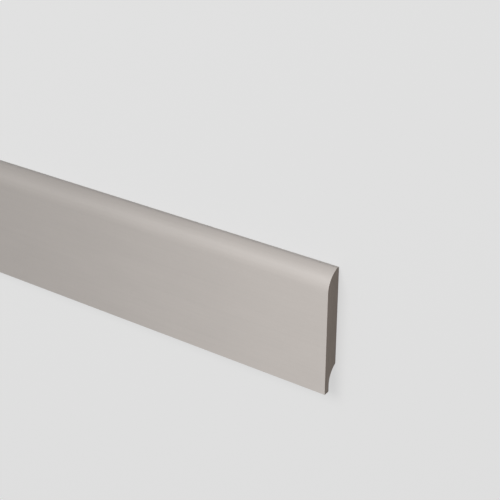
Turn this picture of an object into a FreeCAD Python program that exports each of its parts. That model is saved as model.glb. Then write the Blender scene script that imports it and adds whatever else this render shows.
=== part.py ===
# Skirting board length: one moulded strip with a rounded top edge and a cove along the foot of its back.
# It lies on its back. X runs along the length, +Y points to the edge that is uppermost on a wall,
# and +Z points out of the face. The origin is in the middle of the strip, on the surface that it lies on.
import FreeCAD
import Part

import math
import os

# Driving dimensions in millimetres
LENGTH = 2000.0
HEIGHT = 100.0  # from the floor to the top, once it is on a wall
THICKNESS = 14.0  # from the wall to the face
ROUND_DROP = 15.5  # from the top down to where the round leaves the face
LEDGE_WIDTH = 2.5  # flat strip along the top, next to the wall
FOOT_THICKNESS = 5.5  # what stands on the floor, in front of the cove
FOOT_RISE = 6.3  # straight part of the foot's back
COVE_HEIGHT = 20.0  # from the floor up to where the cove meets the back
ARRIS_RADIUS = 0.5  # eased long edges

ALONG = FreeCAD.Vector(1, 0, 0)
SAME_PLACE = 1e-6

# Corners of the section, each as its height above the floor and its depth behind the face
TOE = (0, 0)
FACE_TOP = (HEIGHT - ROUND_DROP, 0)
LEDGE_FRONT = (HEIGHT, THICKNESS - LEDGE_WIDTH)
TOP_BACK = (HEIGHT, THICKNESS)
COVE_TOP = (COVE_HEIGHT, THICKNESS)
COVE_FOOT = (FOOT_RISE, FOOT_THICKNESS)
FOOT_BACK = (0, FOOT_THICKNESS)


def at_left_end(corner):
    """A corner's place on the left end of the strip as it lies."""
    height, depth = corner
    return FreeCAD.Vector(-LENGTH / 2, height - HEIGHT / 2, THICKNESS - depth)


def line(start, end):
    return Part.LineSegment(at_left_end(start), at_left_end(end)).toShape()


def sweep_back(start, end):
    """An arc that leaves an upright line smoothly at its start, and curves back to its end."""
    rise = end[0] - start[0]
    reach = end[1] - start[1]
    radius = (rise**2 + reach**2) / (2 * reach)
    half_turn = math.atan2(rise, radius - reach) / 2
    middle = (start[0] + radius * math.sin(half_turn), start[1] + radius * (1 - math.cos(half_turn)))
    return Part.Arc(at_left_end(start), at_left_end(middle), at_left_end(end)).toShape()


def section():
    """The outline: up the face, over the round and the ledge, down the back, and in under the cove."""
    return Part.Wire([
        line(TOE, FACE_TOP),
        sweep_back(FACE_TOP, LEDGE_FRONT),
        line(LEDGE_FRONT, TOP_BACK),
        line(TOP_BACK, COVE_TOP),
        sweep_back(COVE_FOOT, COVE_TOP),
        line(COVE_FOOT, FOOT_BACK),
        line(FOOT_BACK, TOE),
    ])


def long_edge(solid, corner):
    """The edge that runs the whole length from this corner of the section."""
    start = at_left_end(corner)
    end = start + ALONG * LENGTH
    for edge in solid.Edges:
        points = [vertex.Point for vertex in edge.Vertexes]
        if all(any(point.isEqual(wanted, SAME_PLACE) for point in points) for wanted in (start, end)):
            return edge
    raise ValueError(f"no long edge at {corner}")


def skirting_board():
    """The section drawn out to the length, with its square long edges eased."""
    strip = Part.Face(section()).extrude(ALONG * LENGTH)
    square_edges = [long_edge(strip, corner) for corner in (TOE, TOP_BACK, COVE_TOP, FOOT_BACK)]
    return strip.makeFillet(ARRIS_RADIUS, square_edges)


os.makedirs("parts", exist_ok=True)
skirting_board().exportStep("parts/skirting_board.step")
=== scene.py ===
import math
from typing import NamedTuple

import bmesh
import bpy
from mathutils import Matrix, Vector
from mathutils.kdtree import KDTree


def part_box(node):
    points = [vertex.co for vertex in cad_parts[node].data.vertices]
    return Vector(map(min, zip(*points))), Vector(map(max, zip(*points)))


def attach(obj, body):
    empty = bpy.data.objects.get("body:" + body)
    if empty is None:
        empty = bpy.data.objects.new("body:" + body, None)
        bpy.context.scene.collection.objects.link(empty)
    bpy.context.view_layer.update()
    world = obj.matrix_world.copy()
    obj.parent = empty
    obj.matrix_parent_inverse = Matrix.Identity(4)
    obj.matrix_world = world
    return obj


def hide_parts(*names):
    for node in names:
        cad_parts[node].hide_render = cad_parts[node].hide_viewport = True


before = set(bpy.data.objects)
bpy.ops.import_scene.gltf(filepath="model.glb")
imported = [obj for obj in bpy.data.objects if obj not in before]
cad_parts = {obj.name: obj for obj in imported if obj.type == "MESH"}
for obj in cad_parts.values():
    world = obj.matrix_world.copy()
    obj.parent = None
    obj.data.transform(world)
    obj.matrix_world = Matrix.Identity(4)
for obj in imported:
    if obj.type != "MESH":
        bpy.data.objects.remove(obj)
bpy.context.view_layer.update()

NODE = "skirting_board"
low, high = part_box(NODE)
LEFT, RIGHT = low.x, high.x
FOOT, TOP = low.y, high.y
BACK, FACE = low.z, high.z
LENGTH = RIGHT - LEFT
MICRON = 1e-6
SAME_PLACE = MICRON  # points nearer than this are one point

# Section
ROUND_DROP = 0.0155  # from the top down to where the round leaves the face
LEDGE_WIDTH = 0.0025  # flat strip along the top, next to the wall
FOOT_THICKNESS = 0.0055  # what stands on the floor, in front of the cove
FOOT_RISE = 0.0063  # straight part of the foot's back
COVE_HEIGHT = 0.020  # from the floor up to where the cove meets the back
ARRIS = 0.0005  # eased long edges
CREASE = 0.0005  # softened corner between the round and the ledge
SAWN_ARRIS = 0.0002  # broken edge of a saw cut

ROUND_START = TOP - ROUND_DROP
LEDGE_FRONT = BACK + LEDGE_WIDTH
COVE_TOP = FOOT + COVE_HEIGHT
COVE_FOOT = FOOT + FOOT_RISE
FOOT_BACK = FACE - FOOT_THICKNESS

# Map for the bake: the skin is unrolled and folded into lanes, and the two ends lie above them, enlarged
LANES = 3
MAP_GAP = 0.0045
END_ENLARGED = 3

# Mesh: steps round each curve, and equal stretches along the board, a whole number of them in each lane
ROUND_STEPS = 28
COVE_STEPS = 20
ARRIS_STEPS = 4
CREASE_STEPS = 2
SAWN_STEPS = 2
STRETCHES_IN_LANE = 14
STRETCHES = LANES * STRETCHES_IN_LANE
SMOOTH_ANGLE = math.radians(50)

# Colours, linear, and how dark and how light their marks turn them
SKIN = (0.593, 0.550, 0.517)
SKIN_SHADES = (0.965, 1.035)
BACK_SHADES = (0.90, 1.0)
SAWN = (0.612, 0.520, 0.452)
SAWN_SHADES = (0.86, 1.12)

# Marks on the sawn ends
BLADE_CENTRE = (0, -0.03, 0.11)
BLADE_WOBBLE = 0.0012
PINHOLE_PITCH = 0.0024
PINHOLE_RADIUS = 0.10  # the largest, as a share of the pitch
PINHOLE_SHIFT = 0.37  # slides them aside with X, so that the two ends differ

# The camera looks down on the face, from beyond the near end and above the top edge
CAMERA_TURN = math.radians(34.41)
CAMERA_RISE = math.radians(27.94)
CAMERA_FROM_TOE = Vector((0.3726, 0.5107, 0.6396))
CAMERA_LENS = 88.57  # millimetres, for the sensor below
CAMERA_SENSOR = 36

# Lamps: a softbox over the board, a low fill from the foot's side and a spot that brightens the near end
SOFTBOX_SIZE = (2.4, 2.4)
SOFTBOX_DISTANCE = 4.0
SOFTBOX_TILT = math.radians(36)
SOFTBOX_POWER = 80.5
FILL_SIZE = (3.0, 0.7)
FILL_DISTANCE = 6.0
FILL_TILT = math.radians(-86)
FILL_POWER = 11
FILL_SPREAD = math.radians(60)
SPOT_SIZE = 0.12
SPOT_DISTANCE = 1.6
SPOT_TILT = math.radians(26)
SPOT_BEYOND_END = 0.28  # how far past the near end it is aimed
SPOT_REACH = 0.62  # radius of its pool of light there
SPOT_POWER = 38.5

# Floor, backdrop and the light from all round
FLOOR_SIZE = 40
FLOOR_PALE = (0.30, 0.30, 0.30)  # takes the shadow
FLOOR_GLOW = 0.57  # lifts what is seen of it to pale
FLOOR_HIDDEN = (0.155, 0.155, 0.155)  # what lights the board from below
BACKDROP_PALE = 0.79
AMBIENT = 0.295

# Sockets of a Mix node that mixes colours
MIX_SHARE = 0
MIX_FIRST = 6
MIX_SECOND = 7
MIX_RESULT = 2


class Number:
    """A socket of a material. Sums of it add the Math nodes that they need."""

    def __init__(self, recipe, socket):
        self.recipe = recipe
        self.socket = socket

    def maths(self, operation, first, second):
        return self.recipe.number("Math", 0, {"operation": operation}, {0: first, 1: second})

    def __add__(self, other):
        return self.maths("ADD", self, other)

    def __sub__(self, other):
        return self.maths("SUBTRACT", self, other)

    def __rsub__(self, other):
        return self.maths("SUBTRACT", other, self)

    def __mul__(self, other):
        return self.maths("MULTIPLY", self, other)

    __radd__ = __add__
    __rmul__ = __mul__


class Mark(NamedTuple):
    """A pattern on a surface, and how much it lightens, roughens and raises it."""

    pattern: Number
    tint: float
    roughening: float = 0
    height: float = 0


class Recipe:
    """A node tree in the making."""

    def __init__(self, tree):
        self.tree = tree
        tree.nodes.clear()

    def node(self, kind, settings=None, feeds=None):
        made = self.tree.nodes.new("ShaderNode" + kind)
        for name, value in (settings or {}).items():
            setattr(made, name, value)
        for name, value in (feeds or {}).items():
            socket = made.inputs[name]
            if isinstance(value, Number):
                value = value.socket
            if isinstance(value, bpy.types.NodeSocket):
                self.tree.links.new(value, socket)
            else:
                socket.default_value = value
        return made

    def number(self, kind, output, settings=None, feeds=None):
        return Number(self, self.node(kind, settings, feeds).outputs[output])

    def place(self):
        """The point's own X, Y and Z on the board."""
        object_place = self.node("TexCoord").outputs["Object"]
        split = self.node("SeparateXYZ", feeds={0: object_place})
        return [Number(self, socket) for socket in split.outputs]

    def point(self, x, y, z):
        return self.node("CombineXYZ", feeds={0: x, 1: y, 2: z}).outputs[0]

    def noise(self, place, size, detail=2.0, roughness=0.5):
        """Soft noise from -0.5 to 0.5, with lumps of about this size, longer along an axis scaled down."""
        feeds = {"Vector": self.point(*place), "Scale": 1 / size, "Detail": detail, "Roughness": roughness}
        return self.number("TexNoise", 0, feeds=feeds) - 0.5

    def step(self, value, start, end):
        """0 before the start, 1 after the end, and smooth in between."""
        settings = {"interpolation_type": "SMOOTHSTEP"}
        feeds = {"Value": value, "From Min": start, "From Max": end}
        return self.number("MapRange", "Result", settings, feeds)

    def shade(self, colour, shades, tint):
        """The colour times the first shade where the tint is -0.5, and times the second where it is 0.5."""
        dark, light = [(*(channel * shade for channel in colour), 1) for shade in shades]
        feeds = {MIX_SHARE: tint + 0.5, MIX_FIRST: dark, MIX_SECOND: light}
        return self.node("Mix", {"data_type": "RGBA"}, feeds).outputs[MIX_RESULT]

    def finish(self, colour, shades, roughness, marks):
        """A shader of this colour and roughness, with the marks on it."""
        tint = sum(mark.pattern * mark.tint for mark in marks)
        roughening = sum(mark.pattern * mark.roughening for mark in marks if mark.roughening)
        relief = sum(mark.pattern * mark.height for mark in marks if mark.height)
        bump = self.node("Bump", feeds={"Strength": 1.0, "Distance": 1.0, "Height": relief})
        shader = self.node("BsdfPrincipled", feeds={
            "Base Color": self.shade(colour, shades, tint),
            "Roughness": roughness + roughening,
            "Normal": bump.outputs[0],
        })
        self.node("OutputMaterial", feeds={"Surface": shader.outputs[0]})


def new_material(name):
    material = bpy.data.materials.new(name)
    material.use_nodes = True
    return material, Recipe(material.node_tree)


def moulded_skin():
    """Satin off-white skin: faint drawn lines along it, soft clouds, an orange peel and a fine grain."""
    material, recipe = new_material("moulded_skin")
    x, y, z = recipe.place()
    clouds = recipe.noise((x * 0.35, y, z), size=0.022, detail=3, roughness=0.55)
    lines = recipe.noise((x * 0.012, y, z), size=0.0016, detail=3, roughness=0.6)
    peel = recipe.noise((x, y, z), size=0.0021, detail=1)
    grain = recipe.noise((x, y, z), size=0.0006, detail=1)
    recipe.finish(SKIN, SKIN_SHADES, roughness=0.44, marks=[
        Mark(clouds, tint=1.2, roughening=0.12),
        Mark(lines, tint=0.9, height=26 * MICRON),
        Mark(peel, tint=0.4, height=30 * MICRON),
        Mark(grain, tint=0.5, roughening=0.10, height=18 * MICRON),
    ])
    return material


def plain_back():
    """The back's skin, duller and more drawn than the face."""
    material, recipe = new_material("plain_back")
    x, y, z = recipe.place()
    clouds = recipe.noise((x * 0.3, y, z), size=0.03, detail=4)
    lines = recipe.noise((x * 0.01, y, z), size=0.0024, detail=4, roughness=0.65)
    grain = recipe.noise((x, y, z), size=0.0009)
    recipe.finish(SKIN, BACK_SHADES, roughness=0.66, marks=[
        Mark(clouds, tint=1.3, roughening=0.15),
        Mark(lines, tint=1.0, height=50 * MICRON),
        Mark(grain, tint=0.5, roughening=0.10, height=28 * MICRON),
    ])
    return material


def blade_arcs(recipe, x, y, z):
    """Wavering arcs round the blade's centre, missing in the patches where it cut clean."""
    wobble = recipe.noise((0, y, z), size=0.009) * BLADE_WOBBLE
    spots = {0: recipe.point(0, y, z), 1: BLADE_CENTRE}
    from_blade = recipe.number("VectorMath", "Value", {"operation": "DISTANCE"}, spots)
    arcs = recipe.noise((from_blade + wobble, y * 0.04, 0), size=0.0011, detail=3, roughness=0.7)
    patches = recipe.noise((x, y, z), size=0.014)
    return arcs * recipe.step(patches, start=-0.16, end=0.12)


def pinholes(recipe, x, y, z):
    """1 in the small bubbles that the saw has opened, each of its own size, and 0 around them."""
    on_cut = recipe.point(y + x * PINHOLE_SHIFT, z, 0)
    feeds = {"Vector": on_cut, "Scale": 1 / PINHOLE_PITCH}
    cells = recipe.node("TexVoronoi", {"voronoi_dimensions": "2D"}, feeds)
    luck = recipe.number("SeparateColor", 0, feeds={0: cells.outputs["Color"]})
    beyond_rim = Number(recipe, cells.outputs["Distance"]) - luck * PINHOLE_RADIUS
    return recipe.step(beyond_rim, start=0.01, end=-0.03)


def sawn_end():
    """Bare polymer: a fine crumb, faint strata, the uneven arcs that a saw blade leaves, and pinholes, sunk
    and darkened with painted shade.
    """
    material, recipe = new_material("sawn_end")
    x, y, z = recipe.place()
    crumb = recipe.noise((x, y, z), size=0.0008, detail=3, roughness=0.65)
    strata = recipe.noise((x, y * 0.05, z), size=0.0016, detail=3, roughness=0.6)
    clouds = recipe.noise((x, y, z), size=0.011)
    recipe.finish(SAWN, SAWN_SHADES, roughness=0.82, marks=[
        Mark(crumb, tint=1.1, roughening=0.12, height=70 * MICRON),
        Mark(strata, tint=0.7, height=20 * MICRON),
        Mark(clouds, tint=0.6),
        Mark(blade_arcs(recipe, x, y, z), tint=1.2, height=150 * MICRON),
        # The pinholes' darker colour is painted shade inside them, added on top of their sunk relief
        Mark(pinholes(recipe, x, y, z), tint=-0.9, height=-90 * MICRON),
    ])
    return material


def start_editing(piece):
    bpy.ops.object.select_all(action="DESELECT")
    piece.select_set(True)
    bpy.context.view_layer.objects.active = piece
    bpy.ops.object.mode_set(mode="EDIT")
    bpy.ops.mesh.select_mode(type="EDGE")


def pick_edges(piece, wanted):
    """Selects the edges for which wanted says yes, given the places of their two ends."""
    bpy.ops.mesh.select_all(action="DESELECT")
    mesh = bmesh.from_edit_mesh(piece.data)
    for edge in mesh.edges:
        if wanted(edge.verts[0].co, edge.verts[1].co):
            edge.select_set(True)
    bmesh.update_edit_mesh(piece.data)


def near(a, b):
    return abs(a - b) < SAME_PLACE


def long_edges_at(*corners):
    """A test for the edges that run the length at these places of the section."""

    def wanted(a, b):
        return any(all(near(end.y, y) and near(end.z, z) for end in (a, b)) for y, z in corners)

    return wanted


def edges_of_end(x):
    """A test for the edges round the end at this X."""

    def wanted(a, b):
        return near(a.x, x) and near(b.x, x)

    return wanted


def extrude(*step):
    bpy.ops.mesh.extrude_region_move(TRANSFORM_OT_translate={"value": step})


def swept(rise, reach):
    """The radius and the angle of an arc that leaves an upright line smoothly."""
    radius = (rise**2 + reach**2) / (2 * reach)
    return radius, math.atan2(rise, radius - reach)


def draw_section(board):
    """From the face over the round and the ledge, along the back, and in under the cove to the toe."""
    pick_edges(board, long_edges_at((ROUND_START, FACE)))
    radius, angle = swept(ROUND_DROP, FACE - LEDGE_FRONT)
    centre = (0, ROUND_START, FACE - radius)
    bpy.ops.mesh.spin(steps=ROUND_STEPS, angle=angle, center=centre, axis=(1, 0, 0))
    extrude(0, 0, BACK - LEDGE_FRONT)
    extrude(0, COVE_TOP - TOP, 0)
    radius, angle = swept(COVE_TOP - COVE_FOOT, FOOT_BACK - BACK)
    centre = (0, COVE_FOOT, FOOT_BACK - radius)
    bpy.ops.mesh.spin(steps=COVE_STEPS, angle=angle, center=centre, axis=(-1, 0, 0))
    extrude(0, FOOT - COVE_FOOT, 0)
    extrude(0, 0, FACE - FOOT_BACK)
    bpy.ops.mesh.select_all(action="SELECT")
    bpy.ops.mesh.remove_doubles(threshold=SAME_PLACE)


def ease_edges(board):
    """Eases the square long edges, the crease by the ledge and the edge of each saw cut."""
    pick_edges(board, long_edges_at((FOOT, FACE), (FOOT, FOOT_BACK), (COVE_TOP, BACK), (TOP, BACK)))
    bpy.ops.mesh.bevel(offset=ARRIS, segments=ARRIS_STEPS, affect="EDGES")
    pick_edges(board, long_edges_at((TOP, LEDGE_FRONT)))
    bpy.ops.mesh.bevel(offset=CREASE, segments=CREASE_STEPS, affect="EDGES")
    for end in (LEFT, RIGHT):
        pick_edges(board, edges_of_end(end))
        bpy.ops.mesh.bevel(offset=SAWN_ARRIS, segments=SAWN_STEPS, affect="EDGES")


def model_board():
    """The face is drawn out round the section, its two ends are closed, and its edges are eased."""
    bpy.ops.object.select_all(action="DESELECT")
    bpy.ops.mesh.primitive_plane_add(size=1)
    board = bpy.context.object
    board.name = "moulded_board"
    start_editing(board)
    bpy.ops.transform.resize(value=(LENGTH, ROUND_START - FOOT, 1))
    bpy.ops.transform.translate(value=((LEFT + RIGHT) / 2, (FOOT + ROUND_START) / 2, FACE))
    draw_section(board)
    for end in (LEFT, RIGHT):
        pick_edges(board, edges_of_end(end))
        bpy.ops.mesh.edge_face_add()
    ease_edges(board)

    for number in range(1, STRETCHES):
        bpy.ops.mesh.select_all(action="SELECT")
        cut = (LEFT + LENGTH * number / STRETCHES, 0, 0)
        bpy.ops.mesh.bisect(plane_co=cut, plane_no=(1, 0, 0))

    bpy.ops.mesh.select_all(action="SELECT")
    bpy.ops.mesh.normals_make_consistent(inside=False)
    bpy.ops.object.mode_set(mode="OBJECT")
    bpy.ops.object.shade_smooth_by_angle(angle=SMOOTH_ANGLE)
    board.modifiers.new("flat_faces", "WEIGHTED_NORMAL").keep_sharp = True
    bpy.ops.object.modifier_apply(modifier="flat_faces")
    return board


def is_sawn(face):
    return abs(face.normal.x) > 0.5


def is_back(face):
    return face.normal.z < -0.9 and near(face.center.z, BACK)


def walk_round(board):
    """The section's points in order from the foot's back, how far round each of them lies, and the girth."""
    mesh = bmesh.new()
    mesh.from_mesh(board.data)
    first_cut = LEFT + LENGTH / STRETCHES
    ring = {vertex for vertex in mesh.verts if near(vertex.co.x, first_cut)}
    order = [min(ring, key=lambda vertex: vertex.co.y + vertex.co.z)]
    while len(order) < len(ring):
        neighbours = (edge.other_vert(order[-1]) for edge in order[-1].link_edges)
        order.append(next(vertex for vertex in neighbours if vertex in ring and vertex not in order[-2:]))
    points = [vertex.co.copy() for vertex in order]
    mesh.free()
    travel = [0.0]
    for start, end in zip(points, points[1:] + points[:1]):
        travel.append(travel[-1] + (end - start).length)
    return points, travel[:-1], travel[-1]


def lay_map(board):
    """Gives the board its map, at one scale all over the skin."""
    points, travel, girth = walk_round(board)
    finder = KDTree(len(points))
    for number, point in enumerate(points):
        finder.insert((0, point.y, point.z), number)
    finder.balance()
    lane_length = LENGTH / LANES
    lane_pitch = girth + MAP_GAP
    end_height = END_ENLARGED * (TOP - FOOT)
    side = LANES * lane_pitch + 2 * MAP_GAP + END_ENLARGED * (FACE - BACK)
    corners = board.data.vertices
    places = board.data.uv_layers.new(name="OFBake").data

    for face in board.data.polygons:
        lane = min(int((face.center.x - LEFT) / lane_length), LANES - 1)
        spots = [corners[number].co for number in face.vertices]
        if is_sawn(face):
            aside = (end_height + MAP_GAP) if face.center.x > 0 else 0
            across = [aside + END_ENLARGED * (spot.y - FOOT) for spot in spots]
            upwards = [LANES * lane_pitch + END_ENLARGED * (spot.z - BACK) for spot in spots]
        else:
            across = [spot.x - LEFT - lane * lane_length for spot in spots]
            upwards = [travel[finder.find((0, spot.y, spot.z))[1]] for spot in spots]
            # The face that closes the ring ends at the girth, not back at 0
            if max(upwards) - min(upwards) > girth / 2:
                upwards = [way or girth for way in upwards]
            upwards = [lane * lane_pitch + way for way in upwards]
        for corner, u, v in zip(face.loop_indices, across, upwards):
            places[corner].uv = ((u + MAP_GAP) / side, (v + MAP_GAP) / side)


def dress(board):
    skin, sawn, back = range(3)
    for material in (moulded_skin(), sawn_end(), plain_back()):
        board.data.materials.append(material)
    for face in board.data.polygons:
        if is_sawn(face):
            face.material_index = sawn
        elif is_back(face):
            face.material_index = back
        else:
            face.material_index = skin


def is_seen(recipe):
    """1 for what the camera sees, in mirrors and through glass too, and 0 for light that spreads."""
    rays = recipe.node("LightPath").outputs
    shown = Number(recipe, rays["Is Camera Ray"])
    for name in ("Is Glossy Ray", "Is Transmission Ray"):
        shown = shown.maths("MAXIMUM", shown, rays[name])
    return shown


def add_floor():
    """Pale where it is seen, and dark where it would light the board from below."""
    bpy.ops.object.select_all(action="DESELECT")
    bpy.ops.mesh.primitive_plane_add(size=FLOOR_SIZE, location=(0, 0, BACK))
    floor = bpy.context.object
    floor.name = "studio_floor"
    material, recipe = new_material("studio_floor")
    pale = recipe.node("BsdfDiffuse", feeds={"Color": (*FLOOR_PALE, 1)})
    glow = recipe.node("Emission", feeds={"Strength": FLOOR_GLOW})
    seen = recipe.node("AddShader", feeds={0: pale.outputs[0], 1: glow.outputs[0]})
    hidden = recipe.node("BsdfDiffuse", feeds={"Color": (*FLOOR_HIDDEN, 1)})
    mixed = recipe.node("MixShader", feeds={0: is_seen(recipe), 1: hidden.outputs[0], 2: seen.outputs[0]})
    recipe.node("OutputMaterial", feeds={"Surface": mixed.outputs[0]})
    floor.data.materials.append(material)


def add_world():
    world = bpy.data.worlds.new("studio")
    world.use_nodes = True
    bpy.context.scene.world = world
    recipe = Recipe(world.node_tree)
    strength = AMBIENT + is_seen(recipe) * (BACKDROP_PALE - AMBIENT)
    background = recipe.node("Background", feeds={"Strength": strength})
    recipe.node("OutputWorld", feeds={"Surface": background.outputs[0]})


def new_panel(name, size, power):
    """A rectangular lamp."""
    panel = bpy.data.lights.new(name, "AREA")
    panel.shape = "RECTANGLE"
    panel.size, panel.size_y = size
    panel.energy = power
    return panel


def hang(light, target, distance, tilt):
    """Hangs a lamp over its target, tilted from straight above towards the board's top edge."""
    lamp = bpy.data.objects.new(light.name, light)
    upwards = Vector((0, math.sin(tilt), math.cos(tilt)))
    turn = upwards.to_track_quat("Z", "Y").to_matrix().to_4x4()
    lamp.matrix_world = Matrix.Translation(target + upwards * distance) @ turn
    lamp.visible_camera = False
    bpy.context.scene.collection.objects.link(lamp)
    return lamp


def add_lamps(board):
    """The softbox lights the floor too. The fill and the spot don't, so that the floor stays even."""
    middle = Vector((0, 0, FACE))
    softbox = new_panel("softbox", SOFTBOX_SIZE, SOFTBOX_POWER)
    hang(softbox, middle, SOFTBOX_DISTANCE, SOFTBOX_TILT)

    fill = new_panel("foot_fill", FILL_SIZE, FILL_POWER)
    fill.spread = FILL_SPREAD
    fill_lamp = hang(fill, middle, FILL_DISTANCE, FILL_TILT)

    spot = bpy.data.lights.new("near_spot", "SPOT")
    spot.energy = SPOT_POWER
    spot.spot_blend = 1
    spot.spot_size = 2 * math.atan(SPOT_REACH / SPOT_DISTANCE)
    spot.shadow_soft_size = SPOT_SIZE
    beyond_end = Vector((RIGHT + SPOT_BEYOND_END, 0, FACE))
    spot_lamp = hang(spot, beyond_end, SPOT_DISTANCE, SPOT_TILT)

    lit_alone = bpy.data.collections.new("lit_alone")
    lit_alone.objects.link(board)
    for lamp in (fill_lamp, spot_lamp):
        lamp.light_linking.receiver_collection = lit_alone


def add_camera():
    data = bpy.data.cameras.new("camera")
    data.sensor_width = CAMERA_SENSOR
    data.lens = CAMERA_LENS
    data.clip_start = 0.01
    data.clip_end = 50
    camera = bpy.data.objects.new("camera", data)
    across = Vector((math.cos(CAMERA_TURN), 0, -math.sin(CAMERA_TURN)))
    level = Vector((math.sin(CAMERA_TURN), 0, math.cos(CAMERA_TURN)))
    backwards = level * math.cos(CAMERA_RISE) + Vector((0, 1, 0)) * math.sin(CAMERA_RISE)
    upwards = backwards.cross(across)
    place = Vector((RIGHT, FOOT, FACE)) + CAMERA_FROM_TOE
    turn = Matrix((across, upwards, backwards)).transposed().to_4x4()
    camera.matrix_world = Matrix.Translation(place) @ turn
    bpy.context.scene.collection.objects.link(camera)
    bpy.context.scene.camera = camera


board = model_board()
lay_map(board)
dress(board)
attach(board, "root")
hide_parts(NODE)

add_floor()
add_world()
add_lamps(board)
add_camera()
bpy.context.scene.view_settings.view_transform = "Standard"
